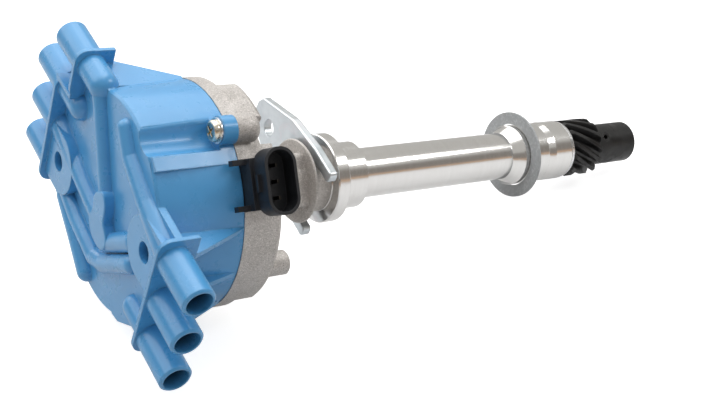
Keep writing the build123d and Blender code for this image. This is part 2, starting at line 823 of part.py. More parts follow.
def cap_screws():
    """Two screws that hold the cap on the bowl."""
    seat = joint_height + ear_height + screw_washer_thickness
    reach = cap_screw_reach + ear_height + screw_washer_thickness
    one = screw(cap_screw_radius, reach, screw_head_radius, screw_head_height)
    return Compound(children=[at(cap_screw_distance, angle, seat) * one for angle in cap_screw_angles])


def screw_washers():
    """Washers below the two cap screws."""
    seat = joint_height + ear_height
    one = Cylinder(screw_washer_radius, screw_washer_thickness, align=STAND)
    one -= Cylinder(cap_screw_radius + 0.1, screw_washer_thickness, align=STAND)
    return Compound(children=[at(cap_screw_distance, angle, seat) * one for angle in cap_screw_angles])


def upper_washer():
    """Thrust washer on top of the upper bushing."""
    return ring(washer_stack_radius, shaft_radius + 0.2, hub_top, hub_top + upper_washer_thickness)


def upper_shim():
    """Shim between the upper washer and the vane wheel."""
    low = hub_top + upper_washer_thickness
    return ring(washer_stack_radius - 0.8, shaft_radius + 0.2, low + 0.05, low + upper_shim_thickness)


def vane_wheel():
    """Cup wheel with one window, read by the cam sensor."""
    bore = shaft_radius + fixed_clearance
    body = ring(vane_hub_radius, bore, vane_bottom, vane_top)
    body += ring(vane_radius, bore, vane_top - vane_thickness, vane_top)
    body += ring(vane_radius, vane_radius - vane_thickness, vane_top - vane_skirt, vane_top)
    window = turned([
        (vane_radius - 4, vane_top - vane_skirt - 1), (vane_radius + 1, vane_top - vane_skirt - 1),
        (vane_radius + 1, vane_top - vane_thickness - 1), (vane_radius - 4, vane_top - vane_thickness - 1),
    ], vane_window)
    body -= Rot(0, 0, rotor_angle) * window
    return body


def rotor_carrier():
    """Plate on the shaft that carries the rotor and its screws."""
    bore = shaft_radius + fixed_clearance
    body = ring(carrier_radius, bore, vane_top, rotor_bottom)
    for side in (-1, 1):
        hole = Cylinder(rotor_screw_radius + fixed_clearance, carrier_thickness + 2, align=STAND)
        body -= at(side * rotor_screw_distance, rotor_angle + 90, vane_top - 1) * hole
    return body


def rotor():
    """Moulded rotor body with its crown."""
    body = disc(rotor_radius, rotor_bottom, rotor_face)
    body += disc(rotor_crown_radius, rotor_face, blade_bottom)
    arm = box(0, contact_circle - contact_radius - blade_gap - 2, -blade_width / 2, blade_width / 2,
              rotor_face - 1, blade_bottom)
    body += Rot(0, 0, rotor_angle) * arm
    body -= disc(shaft_radius + fixed_clearance, rotor_bottom - 1, shaft_top + 0.3)
    for side in (-1, 1):
        spot = at(side * rotor_screw_distance, rotor_angle + 90, rotor_bottom - 1)
        body -= spot * Cylinder(rotor_screw_radius + 0.2, rotor_thickness + 2, align=STAND)
    return body


def rotor_blade():
    """Metal strip from the centre of the rotor to its tip."""
    tip = contact_circle - contact_radius - blade_gap
    strip = box(-blade_width / 2, tip, -blade_width / 2, blade_width / 2, blade_bottom, blade_top)
    return Rot(0, 0, rotor_angle) * strip


def rotor_screws():
    """Two screws that hold the rotor on its carrier."""
    reach = rotor_thickness + carrier_thickness
    one = screw(rotor_screw_radius, reach, rotor_screw_head, rotor_screw_head_height)
    places = [at(side * rotor_screw_distance, rotor_angle + 90, rotor_face) for side in (-1, 1)]
    return Compound(children=[place * one for place in places])


def oval_tube(width, height, low, high):
    """Bar with rounded ends, along the local X axis."""
    body = Box(high - low, width, height)
    body = fillet(body.edges().filter_by(Axis.X), height / 2 - 0.4)
    return Pos((low + high) / 2, 0, shell_centre) * body


def connector_shell():
    """Moulded connector with its base block, side rails and sensor block."""
    body = oval_tube(shell_width, shell_height, flange_face - 0.5, shell_mouth)
    half = flange_width / 2
    floor = bowl_floor
    ear_top = floor + sensor_ear_thickness
    body += box(inner_radius - 1, bowl_radius + 1, -half, half, floor, joint_height - 0.3)
    body += box(bowl_radius + 0.1, flange_face, -half, half, floor, joint_height - 0.3)
    block_half = sensor_block_width / 2
    body += box(sensor_block_start, inner_radius, -block_half, block_half, floor, floor + sensor_height)
    body += box(sensor_inner, sensor_block_start + 1, -hall_width / 2, hall_width / 2, floor, ear_top)
    for centre in sensor_ear_offsets:
        ear = Cylinder(sensor_ear_radius, sensor_ear_thickness, align=STAND)
        body += Pos(sensor_ear_distance, centre, floor) * ear
        body += box(sensor_block_start, sensor_ear_distance + sensor_ear_radius, min(0, centre), max(0, centre),
                    floor, ear_top)
        hole = Cylinder(sensor_screw_radius + 0.2, sensor_ear_thickness + 2, align=STAND)
        body -= Pos(sensor_ear_distance, centre, floor - 1) * hole
        relief = Cylinder(sensor_screw_head + 0.4, sensor_height, align=STAND)
        body -= Pos(sensor_ear_distance, centre, ear_top) * relief
    rail_top = joint_height + guide_rise
    rail_in = bowl_radius + 0.4
    for rail in (-guide_offset, guide_offset):
        body += box(rail_in, rail_in + guide_depth, rail - guide_thickness / 2, rail + guide_thickness / 2,
                    rail_top - guide_length, rail_top)
    shell_top = shell_centre + shell_height / 2
    ramp_end = shell_mouth - latch_setback
    latch = [(ramp_end, shell_top - 0.5), (ramp_end, shell_top + latch_height),
             (ramp_end - 1.5, shell_top + latch_height), (flange_face, shell_top - 0.5)]
    outline = Polyline([(x, -latch_width / 2, z) for x, z in latch], close=True)
    body += extrude(make_face(outline), latch_width, dir=(0, 1, 0))
    body -= oval_tube(shell_width - 2 * shell_wall, shell_height - 2 * shell_wall, socket_floor, shell_mouth + 1)
    for index in (-1, 0, 1):
        middle = index * pin_pitch
        wide = pin_blade_width / 2 + fixed_clearance
        thick = pin_blade_thickness / 2 + fixed_clearance
        body -= box(socket_floor - pin_blade_root, socket_floor + 1, middle - wide, middle + wide,
                    shell_centre - thick, shell_centre + thick)
    return Rot(0, 0, sensor_angle) * body


def connector_terminals():
    """Three blade terminals in the connector."""
    blades = []
    for index in (-1, 0, 1):
        blade = box(socket_floor - pin_blade_root, socket_floor + pin_blade_reach, index * pin_pitch - pin_blade_width / 2,
                    index * pin_pitch + pin_blade_width / 2, shell_centre - pin_blade_thickness / 2,
                    shell_centre + pin_blade_thickness / 2)
        blades.append(Rot(0, 0, sensor_angle) * blade)
    return Compound(children=blades)


def hall_sensor():
    """Two sensing arms, one each side of the vane's skirt."""
    low = bowl_floor + sensor_ear_thickness
    high = vane_top - vane_thickness - 1.0
    inner_arm = box(sensor_inner, vane_radius - vane_thickness - sensor_arm_gap, -hall_width / 2, hall_width / 2,
                    low, high)
    outer_arm = box(vane_radius + sensor_arm_gap, sensor_block_start, -hall_width / 2, hall_width / 2,
                    low, high + 2)
    bridge_high = vane_top - vane_skirt - 0.4
    if bridge_high > low:
        inner_arm += box(sensor_inner, sensor_block_start, -hall_width / 2, hall_width / 2, low, bridge_high)
    return Rot(0, 0, sensor_angle) * (inner_arm + outer_arm)


def sensor_screws():
    """Two screws that hold the sensor on the bowl's floor."""
    reach = sensor_ear_thickness + sensor_screw_bite
    one = screw(sensor_screw_radius, reach, sensor_screw_head, sensor_screw_head_height)
    places = []
    for offset in sensor_ear_offsets:
        seat = Pos(sensor_ear_distance, offset, bowl_floor + sensor_ear_thickness)
        places.append(Rot(0, 0, sensor_angle) * seat)
    return Compound(children=[place * one for place in places])


pieces = {
    "housing": housing,
    "upper_bushing": upper_bushing,
    "lower_bushing": lower_bushing,
    "vent_screens": vent_screens,
    "drive_shaft": drive_shaft,
    "drive_gear": drive_gear,
    "gear_roll_pin": gear_roll_pin,
    "thrust_washer": thrust_washer,
    "gear_shims": gear_shims,
    "hold_down_clamp": hold_down_clamp,
    "mounting_gasket": mounting_gasket,
    "cap": cap,
    "tower_terminals": tower_terminals,
    "cap_contacts": cap_contacts,
    "coil_contact": coil_contact,
    "carbon_button": carbon_button,
    "button_spring": button_spring,
    "cap_screws": cap_screws,
    "screw_washers": screw_washers,
    "upper_washer": upper_washer,
    "upper_shim": upper_shim,
    "vane_wheel": vane_wheel,
    "rotor_carrier": rotor_carrier,
    "rotor": rotor,
    "rotor_blade": rotor_blade,
    "rotor_screws": rotor_screws,
    "connector_shell": connector_shell,
    "connector_terminals": connector_terminals,
    "hall_sensor": hall_sensor,
    "sensor_screws": sensor_screws,
}

os.makedirs("parts", exist_ok=True)
for name, build in pieces.items():
    export_step(build(), f"parts/{name}.step")
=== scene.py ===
"""Looks of the ignition distributor: the finishes of its parts, and light, table and camera."""
import math

import bpy
import numpy as np
from mathutils import Matrix, Vector

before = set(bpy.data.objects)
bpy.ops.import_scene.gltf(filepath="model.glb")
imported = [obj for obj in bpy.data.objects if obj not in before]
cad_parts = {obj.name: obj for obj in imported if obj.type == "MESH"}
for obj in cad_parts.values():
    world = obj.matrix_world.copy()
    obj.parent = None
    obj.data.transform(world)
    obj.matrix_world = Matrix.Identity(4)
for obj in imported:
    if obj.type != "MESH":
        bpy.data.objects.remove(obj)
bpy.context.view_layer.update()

# Heights in metres, up the shaft axis: above the collar the housing keeps its cast skin
collar_top = 0.0067
cast_start = collar_top + 0.0003
cast_full = collar_top + 0.0005

# How the object lies: the way up from the table, and the air between the table and the lowest point
up = Vector((0.34, -0.92, 0.13)).normalized()
table_gap = 0.0002
table_reach = 3.0
table_points = 25

# The photograph's camera, fitted in the part's own frame
camera_place = Vector((-0.3375, -0.3194, 0.3008))
camera_right = Vector((-0.4917, -0.2987, -0.8179))
camera_down = Vector((-0.6479, 0.7531, 0.1145))
camera_forward = Vector((0.5818, 0.5863, -0.5638))
camera_lens = 58.47
sensor_width = 36.0

# Level directions across the picture and towards the camera, and the point that the lamps face
across = camera_forward.cross(up).normalized()
toward_camera = across.cross(up).normalized()
middle = Vector((0, 0, -0.01))


# Short calls for shader nodes

class Wires:
    """Short calls for adding and joining nodes in one tree."""

    def __init__(self, tree):
        self.tree = tree

    def add(self, kind, settings=None, **inputs):
        """Node of a kind, with settings as attributes and inputs by socket name, or by number as _0."""
        node = self.tree.nodes.new(kind)
        for key, value in (settings or {}).items():
            setattr(node, key, value)
        for key, value in inputs.items():
            numbered = key[0] == "_" and key[1:].isdigit()
            self.feed(node, int(key[1:]) if numbered else key.replace("_", " "), value)
        return node

    def feed(self, node, key, value):
        """Link a socket, or set its value."""
        socket = node.inputs[key]
        if isinstance(value, bpy.types.NodeSocket):
            self.tree.links.new(value, socket)
        else:
            socket.default_value = value

    def use(self, group, **inputs):
        """Shared group placed in the tree."""
        node = self.tree.nodes.new("ShaderNodeGroup")
        node.node_tree = group
        for key, value in inputs.items():
            self.feed(node, key.replace("_", " "), value)
        return node.outputs

    def maths(self, operation, first, second=0.0, clamp=False):
        """Result of one Math node."""
        node = self.add("ShaderNodeMath", {"operation": operation, "use_clamp": clamp}, _0=first, _1=second)
        return node.outputs[0]

    def plus(self, first, second):
        """Sum of two values."""
        return self.maths("ADD", first, second)

    def times(self, first, second):
        """Product of two values."""
        return self.maths("MULTIPLY", first, second)

    def rest(self, share):
        """What a share leaves of one."""
        return self.maths("SUBTRACT", 1.0, share)

    def dot(self, first, second):
        """Dot product of two directions."""
        node = self.add("ShaderNodeVectorMath", {"operation": "DOT_PRODUCT"}, _0=first, _1=second)
        return node.outputs["Value"]

    def span(self, value, low, high, to_low=0.0, to_high=1.0):
        """Value mapped from one range to another with a smooth step and clamped."""
        node = self.add("ShaderNodeMapRange", {"interpolation_type": "SMOOTHSTEP"},
                        Value=value, From_Min=low, From_Max=high, To_Min=to_low, To_Max=to_high)
        return node.outputs[0]

    def mix(self, share, first, second):
        """Colour mixed from two by the second one's share."""
        node = self.add("ShaderNodeMix", {"data_type": "RGBA"}, _0=share, _6=first, _7=second)
        return node.outputs[2]

    def noise(self, place, scale, detail=2.0, rough=0.5, distortion=0.0):
        """Noise value at a place, with the scale in cycles per metre."""
        node = self.add("ShaderNodeTexNoise", None, Vector=place, Scale=scale, Detail=detail, Roughness=rough,
                        Distortion=distortion)
        return node.outputs["Fac"]


def rgb(red, green, blue):
    """Colour socket value from linear parts."""
    return (red, green, blue, 1.0)


# Shader node groups that several finishes share

def new_group(name, inputs, outputs):
    """Empty shader group with inputs given as (name, kind, start value) and outputs as (name, kind)."""
    group = bpy.data.node_groups.new(name, "ShaderNodeTree")
    for title, kind, value in inputs:
        socket = group.interface.new_socket(title, in_out="INPUT", socket_type=kind)
        if value is not None:
            socket.default_value = value
    for title, kind in outputs:
        group.interface.new_socket(title, in_out="OUTPUT", socket_type=kind)
    source = group.nodes.new("NodeGroupInput").outputs
    sink = group.nodes.new("NodeGroupOutput")
    return group, source, sink


def grain_group():
    """Fine and coarse noise of a moulded or cast skin: height for a bump, and a mask for colour and gloss."""
    group, source, sink = new_group(
        "surface grain",
        [("Place", "NodeSocketVector", None), ("Fine Scale", "NodeSocketFloat", 3000.0),
         ("Coarse Scale", "NodeSocketFloat", 250.0), ("Coarse Share", "NodeSocketFloat", 0.4)],
        [("Height", "NodeSocketFloat"), ("Mask", "NodeSocketFloat")])
    w = Wires(group)
    fine = w.noise(source["Place"], source["Fine Scale"], detail=3.0, rough=0.6)
    coarse = w.noise(source["Place"], source["Coarse Scale"], detail=4.0, rough=0.55)
    w.feed(sink, "Height", w.plus(fine, w.times(coarse, source["Coarse Share"])))
    w.feed(sink, "Mask", w.span(coarse, 0.3, 0.7))
    return group


def edge_group():
    """Edge mask from how far the rounded normal turns from the true one, broken up by noise, and the rounded
    normal itself; it marks worn edges on the other metal parts and paints a highlight along plastic and clamp
    edges."""
    group, source, sink = new_group(
        "edge wear and painted highlight",
        [("Place", "NodeSocketVector", None), ("Width", "NodeSocketFloat", 0.0006),
         ("Broken", "NodeSocketFloat", 0.5)],
        [("Mask", "NodeSocketFloat"), ("Normal", "NodeSocketVector")])
    w = Wires(group)
    rounded = w.add("ShaderNodeBevel", {"samples": 4}, Radius=source["Width"]).outputs[0]
    true_normal = w.add("ShaderNodeNewGeometry").outputs["Normal"]
    turned = w.span(w.rest(w.dot(rounded, true_normal)), 0.02, 0.25)
    speck = w.span(w.noise(source["Place"], 900.0, detail=3.0, rough=0.7), 0.35, 0.65)
    kept = w.plus(w.times(speck, source["Broken"]), w.rest(source["Broken"]))
    w.feed(sink, "Mask", w.maths("MULTIPLY", turned, kept, clamp=True))
    w.feed(sink, "Normal", rounded)
    return group


def crevice_shade_group():
    """Mask for painted shade: 1 deep inside a hole or a narrow corner, from the share of open space round a
    point.
    """
    group, source, sink = new_group(
        "crevice shade", [("Reach", "NodeSocketFloat", 0.02)], [("Mask", "NodeSocketFloat")])
    w = Wires(group)
    open_space = w.add("ShaderNodeAmbientOcclusion", {"samples": 16, "only_local": True},
                       Distance=source["Reach"])
    w.feed(sink, "Mask", w.span(open_space.outputs["AO"], 0.42, 0.05))
    return group


def turning_group():
    """Lathe rings round the shaft axis: height and tone vary with the height along the axis, and with the
    distance from it on faces square to the axis."""
    group, source, sink = new_group(
        "lathe rings",
        [("Place", "NodeSocketVector", None), ("Pitch", "NodeSocketFloat", 9000.0)],
        [("Height", "NodeSocketFloat"), ("Tone", "NodeSocketFloat")])
    w = Wires(group)
    parts = w.add("ShaderNodeSeparateXYZ", None, _0=source["Place"]).outputs
    flat = w.add("ShaderNodeCombineXYZ", None, X=parts["X"], Y=parts["Y"]).outputs[0]
    distance = w.add("ShaderNodeVectorMath", {"operation": "LENGTH"}, _0=flat).outputs["Value"]
    true_normal = w.add("ShaderNodeNewGeometry").outputs["True Normal"]
    normal = w.add("ShaderNodeSeparateXYZ", None, _0=true_normal).outputs
    square = w.span(w.maths("ABSOLUTE", normal["Z"]), 0.55, 0.8)
    travel = w.plus(w.times(parts["Z"], w.rest(square)), w.times(distance, square))
    line = w.add("ShaderNodeCombineXYZ", None, Z=travel).outputs[0]
    rings = w.noise(line, source["Pitch"], detail=3.0, rough=0.75)
    broad = w.noise(line, 420.0, detail=2.0, rough=0.6)
    w.feed(sink, "Height", rings)
    w.feed(sink, "Tone", w.plus(w.times(rings, 0.6), w.times(broad, 0.4)))
    return group


GRAIN = grain_group()
EDGES = edge_group()
CREVICE_SHADE = crevice_shade_group()
TURNING = turning_group()


# Finishes

def start_material(name):
    """New material, its node calls, its Principled shader and Object coordinates."""
    material = bpy.data.materials.new(name)
    material.use_nodes = True
    w = Wires(material.node_tree)
    shader = material.node_tree.nodes["Principled BSDF"]
    place = w.add("ShaderNodeTexCoord").outputs["Object"]
    return material, w, shader, place


def bump(w, shader, height, strength, distance, normal=None):
    """Bump from a height into the shader's normal, on top of another normal where one is given."""
    node = w.add("ShaderNodeBump", None, Height=height, Strength=strength, Distance=distance)
    if normal is not None:
        w.feed(node, "Normal", normal)
    w.feed(shader, "Normal", node.outputs[0])


def moulded_plastic(name, light, dark, highlight_and_dust_tint, gloss, grain, edge, coat=0.0):
    """Moulded plastic: soft clouds of tone, a little dust, painted shade in holes and corners, a painted
    highlight along the edges and a fine grain.
    """
    material, w, shader, place = start_material(name)
    skin = w.use(GRAIN, Place=place, Fine_Scale=2600.0, Coarse_Scale=140.0, Coarse_Share=1.5)
    edges = w.use(EDGES, Place=place, Width=edge, Broken=0.6)
    hollow_shade = w.use(CREVICE_SHADE, Reach=0.02)["Mask"]
    cloud = w.span(w.noise(place, 38.0, detail=4.0, rough=0.6), 0.35, 0.68)
    dust = w.span(w.noise(place, 1900.0, detail=2.0, rough=0.8), 0.72, 0.8)
    shade = tuple(part * 0.1 for part in dark)
    colour = w.mix(cloud, rgb(*dark), rgb(*light))
    # Painted highlight: a paler colour along the rounded edges
    colour = w.mix(w.times(edges["Mask"], 0.55), colour, rgb(*highlight_and_dust_tint))
    colour = w.mix(w.times(dust, 0.04), colour, rgb(*highlight_and_dust_tint))
    # Painted shade: colour darkened to near black deep in holes and corners
    colour = w.mix(w.times(hollow_shade, 0.9), colour, rgb(*shade))
    rough = w.plus(gloss, w.times(skin["Mask"], 0.08))
    w.feed(shader, "Base Color", colour)
    w.feed(shader, "Roughness", w.maths("SUBTRACT", rough, w.times(edges["Mask"], 0.06)))
    shader.inputs["Coat Weight"].default_value = coat
    shader.inputs["Coat Roughness"].default_value = 0.18
    bump(w, shader, skin["Height"], 0.2, grain, edges["Normal"])
    return material


def cast_and_turned():
    """Housing: grainy die cast metal above the collar, and bright lathe-turned metal on collar, pilot, stem
    and register, with faint rings."""
    material, w, shader, place = start_material("cast and turned aluminium")
    cast_light = rgb(0.53, 0.505, 0.48)
    cast_dark = rgb(0.42, 0.395, 0.37)
    cast_grain = rgb(0.78, 0.74, 0.715)
    cast_pit = rgb(0.20, 0.185, 0.17)
    turned_light = rgb(0.79, 0.78, 0.768)
    turned_dark = rgb(0.74, 0.73, 0.715)
    bare_edge = rgb(0.82, 0.81, 0.79)
    height_up = w.add("ShaderNodeSeparateXYZ", None, _0=place).outputs["Z"]
    cast = w.span(height_up, cast_start, cast_full)
    turned = w.rest(cast)
    skin = w.use(GRAIN, Place=place, Fine_Scale=1500.0, Coarse_Scale=210.0, Coarse_Share=0.5)
    rings = w.use(TURNING, Place=place, Pitch=7000.0)
    edges = w.use(EDGES, Place=place, Width=0.0004, Broken=0.5)
    cloud = w.span(w.noise(place, 60.0, detail=4.0, rough=0.65), 0.3, 0.7)
    speck = w.span(w.noise(place, 1700.0, detail=3.0, rough=0.85), 0.48, 0.62)
    pit = w.span(w.noise(place, 1100.0, detail=2.0, rough=0.7, distortion=0.4), 0.42, 0.32)
    cast_colour = w.mix(cloud, cast_dark, cast_light)
    cast_colour = w.mix(w.times(speck, 0.7), cast_colour, cast_grain)
    cast_colour = w.mix(w.times(pit, 0.5), cast_colour, cast_pit)
    turned_colour = w.mix(w.span(rings["Tone"], 0.35, 0.65), turned_dark, turned_light)
    colour = w.mix(cast, turned_colour, cast_colour)
    cast_rough = w.span(skin["Mask"], 0.0, 1.0, to_low=0.52, to_high=0.66)
    turned_rough = w.span(rings["Tone"], 0.3, 0.7, to_low=0.16, to_high=0.18)
    cast_height = w.times(w.times(skin["Height"], cast), 2.4)
    turned_height = w.times(w.times(rings["Height"], 0.02), turned)
    w.feed(shader, "Base Color", w.mix(w.times(edges["Mask"], 0.25), colour, bare_edge))
    w.feed(shader, "Metallic", w.rest(w.times(cast, 0.45)))
    w.feed(shader, "Roughness", w.plus(w.times(cast_rough, cast), w.times(turned_rough, turned)))
    bump(w, shader, w.plus(cast_height, turned_height), 0.6, 0.00008, edges["Normal"])
    return material


def plated_sheet():
    """Zinc plate: bluish white metal with a faint pink bloom, fine grain and a painted highlight along the
    edges.
    """
    material, w, shader, place = start_material("bluish zinc plate")
    plate_light = rgb(0.66, 0.70, 0.725)
    plate_dark = rgb(0.56, 0.605, 0.635)
    pink_bloom = rgb(0.69, 0.635, 0.67)
    painted_edge_highlight = rgb(0.74, 0.77, 0.79)
    cloud = w.span(w.noise(place, 45.0, detail=4.0, rough=0.6, distortion=0.6), 0.35, 0.65)
    bloom = w.span(w.noise(place, 75.0, detail=3.0, rough=0.55, distortion=1.4), 0.5, 0.7)
    edges = w.use(EDGES, Place=place, Width=0.0007, Broken=0.2)
    skin = w.use(GRAIN, Place=place, Fine_Scale=2200.0, Coarse_Scale=420.0, Coarse_Share=1.0)
    colour = w.mix(cloud, plate_dark, plate_light)
    colour = w.mix(w.times(bloom, 0.5), colour, pink_bloom)
    # Painted highlight: a paler colour along the rounded edges
    w.feed(shader, "Base Color", w.mix(w.times(edges["Mask"], 0.2), colour, painted_edge_highlight))
    shader.inputs["Metallic"].default_value = 1.0
    w.feed(shader, "Roughness", w.span(skin["Mask"], 0.0, 1.0, to_low=0.3, to_high=0.42))
    bump(w, shader, skin["Height"], 0.3, 0.00003, edges["Normal"])
    return material


def bare_metal(name, light, dark, gloss, ring_share, edge=0.0003, metallic=1.0):
    """Plain metal: lathe rings, grain, clouds of tone and bright edges."""
    material, w, shader, place = start_material(name)
    rings = w.use(TURNING, Place=place, Pitch=6000.0)
    skin = w.use(GRAIN, Place=place, Fine_Scale=2400.0, Coarse_Scale=260.0, Coarse_Share=0.6)
    edges = w.use(EDGES, Place=place, Width=edge, Broken=0.4)
    tone = w.plus(w.times(rings["Tone"], ring_share), w.times(skin["Mask"], 1.0 - ring_share))
    bright = tuple(min(1.0, part * 1.25 + 0.04) for part in light)
    colour = w.mix(w.span(tone, 0.25, 0.75), rgb(*dark), rgb(*light))
    w.feed(shader, "Base Color", w.mix(w.times(edges["Mask"], 0.5), colour, rgb(*bright)))
    shader.inputs["Metallic"].default_value = metallic
    w.feed(shader, "Roughness", w.span(tone, 0.2, 0.8, to_low=gloss, to_high=gloss + 0.14))
    height = w.plus(w.times(rings["Height"], ring_share), w.times(skin["Height"], 0.2))
    bump(w, shader, height, 0.4, 0.00004, edges["Normal"])
    return material


def pressed_fibre():
    """Fibre gasket: matt blue grey with short pale fibres that lie flat, in two directions."""
    material, w, shader, place = start_material("pressed fibre")
    ground = rgb(0.36, 0.37, 0.375)
    pale_fibre = rgb(0.51, 0.525, 0.53)
    pale_thread = rgb(0.58, 0.59, 0.60)
    one_way = w.add("ShaderNodeMapping", None, Vector=place, Rotation=(0.0, 0.0, 0.9), Scale=(1.0, 4.0, 1.0))
    other_way = w.add("ShaderNodeMapping", None, Vector=place, Rotation=(0.0, 0.0, -0.7),
                      Scale=(4.0, 1.0, 1.0))
    fibres = w.span(w.noise(one_way.outputs[0], 420.0, detail=3.0, rough=0.7), 0.52, 0.66)
    threads = w.span(w.noise(other_way.outputs[0], 380.0, detail=3.0, rough=0.7), 0.52, 0.66)
    colour = w.mix(fibres, ground, pale_fibre)
    w.feed(shader, "Base Color", w.mix(w.times(threads, 0.6), colour, pale_thread))
    w.feed(shader, "Roughness", w.span(fibres, 0.0, 1.0, to_low=0.7, to_high=0.82))
    bump(w, shader, w.plus(fibres, threads), 0.5, 0.00006)
    return material


def oiled_gear():
    """Dark phosphate on steel under oil: near black, with rings, glossy wet patches and grey edges."""
    material, w, shader, place = start_material("dark oiled steel")
    gear_light = rgb(0.012, 0.0115, 0.011)
    gear_dark = rgb(0.006, 0.006, 0.0065)
    grey_edge = rgb(0.05, 0.048, 0.046)
    rings = w.use(TURNING, Place=place, Pitch=900.0)
    skin = w.use(GRAIN, Place=place, Fine_Scale=1800.0, Coarse_Scale=180.0, Coarse_Share=0.8)
    edges = w.use(EDGES, Place=place, Width=0.0007, Broken=0.5)
    wet = w.span(w.noise(place, 110.0, detail=3.0, rough=0.6, distortion=0.5), 0.42, 0.6)
    colour = w.mix(skin["Mask"], gear_dark, gear_light)
    w.feed(shader, "Base Color", w.mix(w.times(edges["Mask"], 0.5), colour, grey_edge))
    shader.inputs["Metallic"].default_value = 0.1
    shader.inputs["Specular IOR Level"].default_value = 0.4
    w.feed(shader, "Roughness", w.span(wet, 0.0, 1.0, to_low=0.5, to_high=0.3))
    bump(w, shader, w.plus(w.times(rings["Height"], 0.9), skin["Height"]), 0.45, 0.00007, edges["Normal"])
    return material


cap_blue = moulded_plastic(
    "blue moulded plastic", light=(0.088, 0.36, 0.69), dark=(0.078, 0.336, 0.655),
    highlight_and_dust_tint=(0.20, 0.48, 0.76), gloss=0.26, grain=0.000004, edge=0.0008, coat=0.3)
connector_black = moulded_plastic(
    "black moulded plastic", light=(0.016, 0.018, 0.022), dark=(0.010, 0.011, 0.014),
    highlight_and_dust_tint=(0.055, 0.06, 0.068), gloss=0.42, grain=0.00008, edge=0.0004)
housing_metal = cast_and_turned()
clamp_zinc = plated_sheet()
gasket_fibre = pressed_fibre()
gear_steel = oiled_gear()
bright_plate = bare_metal(
    "bright plate", light=(0.82, 0.82, 0.83), dark=(0.68, 0.69, 0.70), gloss=0.16, ring_share=0.2)
yellow_plate = bare_metal(
    "yellow zinc plate", light=(0.78, 0.73, 0.62), dark=(0.60, 0.55, 0.45), gloss=0.14, ring_share=0.2)
ground_steel = bare_metal(
    "ground steel", light=(0.62, 0.615, 0.60), dark=(0.48, 0.475, 0.465), gloss=0.26, ring_share=0.6)
spring_wire = bare_metal(
    "spring wire", light=(0.55, 0.55, 0.56), dark=(0.40, 0.40, 0.41), gloss=0.25, ring_share=0.1, edge=0.0001)
oiled_bronze = bare_metal(
    "oiled bronze", light=(0.46, 0.29, 0.13), dark=(0.34, 0.20, 0.085), gloss=0.38, ring_share=0.4)
plain_brass = bare_metal(
    "plain brass", light=(0.74, 0.56, 0.27), dark=(0.58, 0.42, 0.18), gloss=0.28, ring_share=0.2)
contact_metal = bare_metal(
    "contact aluminium", light=(0.80, 0.80, 0.80), dark=(0.64, 0.64, 0.65), gloss=0.3, ring_share=0.3)
# Terminal metal painted near black: painted shade deep in the connector socket, not the metal's own colour
shade_dark_contact = bare_metal(
    "contact metal darkened as shade", light=(0.045, 0.04, 0.034), dark=(0.025, 0.022, 0.019), gloss=0.55, ring_share=0.2)
button_carbon = bare_metal(
    "pressed carbon", light=(0.035, 0.035, 0.036), dark=(0.018, 0.018, 0.019), gloss=0.55, ring_share=0.1,
    metallic=0.2)

finishes = {
    "cap": cap_blue,
    "cap_screws": yellow_plate,
    "screw_washers": bright_plate,
    "tower_terminals": contact_metal,
    "cap_contacts": contact_metal,
    "coil_contact": plain_brass,
    "carbon_button": button_carbon,
    "button_spring": spring_wire,
    "housing": housing_metal,
    "vent_screens": ground_steel,
    "upper_bushing": oiled_bronze,
    "lower_bushing": oiled_bronze,
    "connector_shell": connector_black,
    "connector_terminals": shade_dark_contact,
    "hall_sensor": connector_black,
    "sensor_screws": bright_plate,
    "rotor": connector_black,
    "rotor_blade": plain_brass,
    "rotor_carrier": ground_steel,
    "rotor_screws": bright_plate,
    "vane_wheel": ground_steel,
    "drive_shaft": ground_steel,
    "upper_washer": ground_steel,
    "upper_shim": ground_steel,
    "thrust_washer": bright_plate,
    "gear_shims": ground_steel,
    "drive_gear": gear_steel,
    "gear_roll_pin": gear_steel,
    "hold_down_clamp": clamp_zinc,
    "mounting_gasket": gasket_fibre,
}
for node, material in finishes.items():
    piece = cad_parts[node]
    piece.data.materials.clear()
    piece.data.materials.append(material)


# Table, surroundings, camera and lamps

def lowest_height(direction):
    """Lowest height that any point of the object has along a direction, measured from the origin."""
    heights = []
    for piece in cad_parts.values():
        points = np.empty(3 * len(piece.data.vertices))
        piece.data.vertices.foreach_get("co", points)
        turn = np.array(piece.matrix_world)
        placed = points.reshape(-1, 3) @ turn[:3, :3].T + turn[:3, 3]
        heights.append(float(placed.dot(np.array(direction)).min()))
    return min(heights)


def flat_grid(name, centre, side, other, reach, count):
    """Flat square mesh: the point at (u, v) is the centre plus u times one side plus v times the other."""
    u, v = np.meshgrid(np.linspace(-reach, reach, count), np.linspace(-reach, reach, count), indexing="ij")
    points = np.array(centre) + u.reshape(-1, 1) * np.array(side) + v.reshape(-1, 1) * np.array(other)
    row, column = np.meshgrid(np.arange(count - 1), np.arange(count - 1), indexing="ij")
    corner = (row * count + column).ravel()
    faces = np.stack([corner, corner + 1, corner + count + 1, corner + count], 1)
    mesh = bpy.data.meshes.new(name)
    mesh.from_pydata(points.tolist(), [], faces.tolist())
    mesh.update()
    piece = bpy.data.objects.new(name, mesh)
    bpy.context.scene.collection.objects.link(piece)
    return piece


